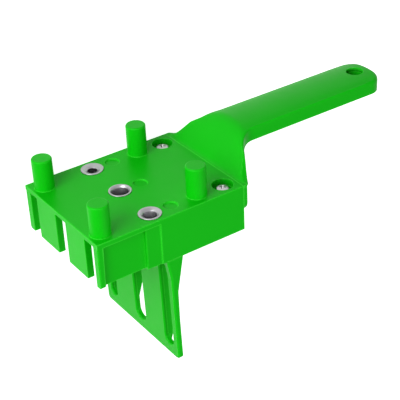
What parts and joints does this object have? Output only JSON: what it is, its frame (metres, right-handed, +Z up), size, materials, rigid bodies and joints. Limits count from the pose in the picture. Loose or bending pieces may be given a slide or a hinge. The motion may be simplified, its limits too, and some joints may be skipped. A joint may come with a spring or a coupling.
{
  "type": "doweling jig",
  "caption": "Doweling jig: moulded body with board pegs and steel drill bushes, slotted front wall, sliding slotted fence and a ribbed handle screwed on behind.",
  "frame": {"origin": "axis of the middle drill bush, at the top face of the plate", "axes": "+X from the slotted front wall to the handle's end, +Y out of the plate's top along the bushes, +Z up across the jig, from the left side that it rests on to its right side"},
  "size_m": [0.2342, 0.1263, 0.083],
  "materials": {
    "plastic": "fine-grained moulding, semi-gloss",
    "bush_steel": "ground and hardened",
    "screw_steel": "bright zinc plated"
  },
  "bodies": {
    "jig": {"jig_body": "plastic", "handle": "plastic", "bush_left": "bush_steel", "bush_middle": "bush_steel", "bush_right": "bush_steel", "handle_screw_left": "screw_steel", "handle_screw_right": "screw_steel"},
    "fence": {"sliding_fence": "plastic"}
  },
  "joints": [
    {"name": "fence_slide", "type": "slide", "parent": "jig", "child": "fence", "axis": [1, 0, 0], "range_m": [0, 0.014]}
  ]
}
